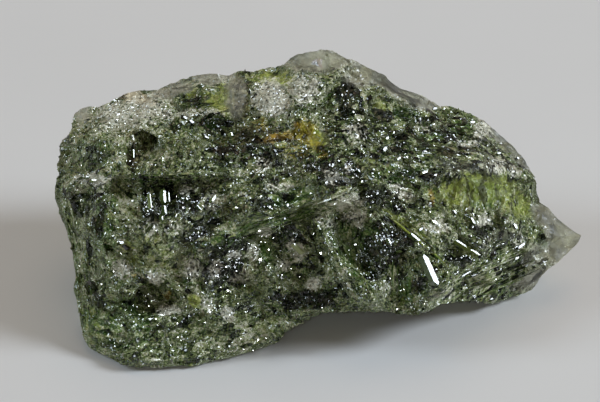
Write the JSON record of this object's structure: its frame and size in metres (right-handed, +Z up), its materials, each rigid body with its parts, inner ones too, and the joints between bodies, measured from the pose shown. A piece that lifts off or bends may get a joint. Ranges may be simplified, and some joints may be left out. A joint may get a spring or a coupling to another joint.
{
  "type": "diopside crystal",
  "caption": "Rough broken lump of green diopside, granular and partly see-through, lying on its widest flat.",
  "frame": {"origin": "on the surface the lump rests on, under the middle of its bounding box", "axes": "+X along the longest way, towards the pointed end; +Z up; the side that the picture shows faces -Y"},
  "size_m": [0.032, 0.0158, 0.0133],
  "materials": {
    "diopside": "rough broken grains with bright cleavage faces, see-through at thin edges"
  },
  "bodies": {
    "root": {"diopside_crystal": "diopside"}
  },
  "joints": []
}
